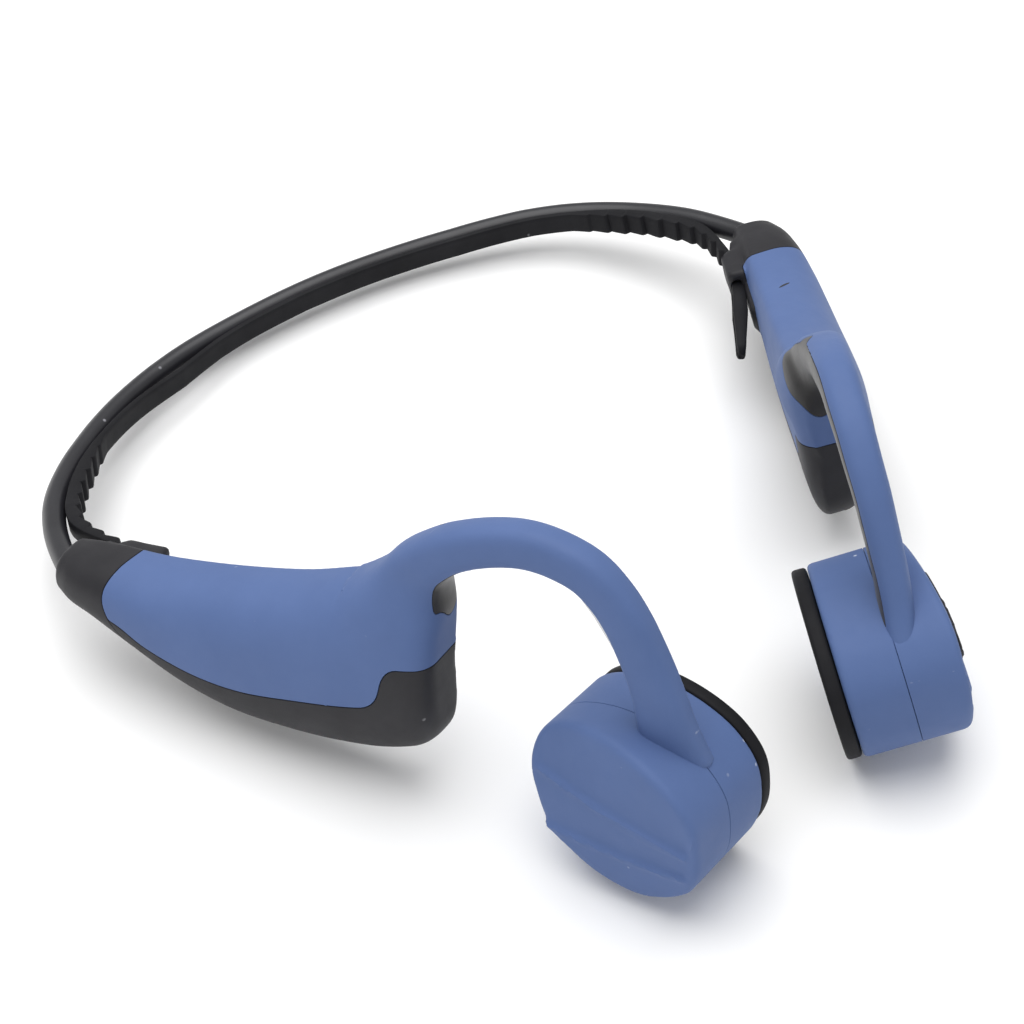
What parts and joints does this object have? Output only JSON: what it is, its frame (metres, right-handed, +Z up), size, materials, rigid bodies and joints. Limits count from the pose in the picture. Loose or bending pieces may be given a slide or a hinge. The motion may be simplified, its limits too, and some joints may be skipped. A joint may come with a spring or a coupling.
{
  "type": "bone conduction headphones",
  "caption": "Open-ear bone conduction headphones: ear modules with hooks and pods, joined behind the neck by a springy band and a ratchet strap.",
  "frame": {"origin": "middle of the bounding box, on the level the pods and the back of the neckband stand on", "axes": "+Z up, the wearer faces -Y, +X is the wearer's left; the plane x = 0 mirrors one side into the other"},
  "size_m": [0.138, 0.1452, 0.0496],
  "materials": {
    "blue_soft_touch": "soft-touch blue moulding",
    "black_matte_plastic": "matte black moulding",
    "black_rubber": "matte black silicone rubber",
    "spring_steel": "bare sheet and spring steel",
    "copper_winding": "enamelled copper",
    "plated_magnet": "nickel plated",
    "green_circuit_board": "solder mask over glass laminate",
    "silver_battery_foil": "laminated pouch foil"
  },
  "bodies": {
    "right_side": {"battery": "silver_battery_foil", "collar_right": "black_matte_plastic", "ear_pad_right": "black_rubber", "hook_liner_right": "black_rubber", "hook_sleeve_right": "blue_soft_touch", "hook_wire_right": "spring_steel", "housing_base_right": "black_matte_plastic", "housing_cover_right": "blue_soft_touch", "neckband_cable_right": "copper_winding", "neckband_tube_right": "black_rubber", "neckband_wire_right": "spring_steel", "pod_body_right": "blue_soft_touch", "pod_cover_right": "blue_soft_touch", "strap_middle_right": "black_rubber", "transducer_coil_right": "copper_winding", "transducer_cup_right": "spring_steel", "transducer_magnet_right": "plated_magnet", "transducer_plate_right": "spring_steel"},
    "left_side": {"charging_socket": "spring_steel", "circuit_board": "green_circuit_board", "microphone": "spring_steel", "multifunction_switch": "black_matte_plastic", "volume_down_switch": "spring_steel", "volume_up_switch": "spring_steel", "collar_left": "black_matte_plastic", "ear_pad_left": "black_rubber", "hook_liner_left": "black_rubber", "hook_sleeve_left": "blue_soft_touch", "hook_wire_left": "spring_steel", "housing_base_left": "black_matte_plastic", "housing_cover_left": "blue_soft_touch", "neckband_cable_left": "copper_winding", "neckband_tube_left": "black_rubber", "neckband_wire_left": "spring_steel", "pod_body_left": "blue_soft_touch", "pod_cover_left": "blue_soft_touch", "strap_middle_left": "black_rubber", "transducer_coil_left": "copper_winding", "transducer_cup_left": "spring_steel", "transducer_magnet_left": "plated_magnet", "transducer_plate_left": "spring_steel"},
    "strap_end_right": {"strap_end_right": "black_rubber"},
    "strap_end_left": {"strap_end_left": "black_rubber"},
    "multifunction_button": {"multifunction_button": "black_matte_plastic"},
    "volume_up_button": {"volume_up_button": "black_matte_plastic"},
    "volume_down_button": {"volume_down_button": "black_matte_plastic"},
    "port_cover": {"port_cover": "black_rubber"}
  },
  "joints": [
    {"name": "band_flex", "type": "hinge", "parent": "right_side", "child": "left_side", "pos_m": [0, 0.07093, 0.00318], "axis": [0, 0, 1], "range_deg": [-4, 45], "stiffness_Nm_per_rad": 0.16},
    {"name": "strap_slide_left", "type": "slide", "parent": "left_side", "child": "strap_end_left", "axis": [-0.4721, -0.8797, -0.057], "range_m": [0, 0.0084]},
    {"name": "strap_slide_right", "type": "slide", "parent": "right_side", "child": "strap_end_right", "axis": [0.4721, -0.8797, -0.057], "range_m": [0, 0.0084]},
    {"name": "multifunction_press", "type": "slide", "parent": "left_side", "child": "multifunction_button", "axis": [-0.939, 0.3097, -0.1498], "range_m": [0, 0.0004], "stiffness_N_per_m": 2500},
    {"name": "volume_up_press", "type": "slide", "parent": "left_side", "child": "volume_up_button", "axis": [-0.0146, 0.391, 0.9203], "range_m": [0, 0.0004], "stiffness_N_per_m": 2500},
    {"name": "volume_down_press", "type": "slide", "parent": "left_side", "child": "volume_down_button", "axis": [-0.096, 0.256, 0.9619], "range_m": [0, 0.0004], "stiffness_N_per_m": 2500},
    {"name": "port_cover_hinge", "type": "hinge", "parent": "left_side", "child": "port_cover", "pos_m": [0.05766, 0.00117, 0.00381], "axis": [0.8649, -0.457, 0.2079], "range_deg": [0, 100], "stiffness_Nm_per_rad": 0.0002}
  ]
}
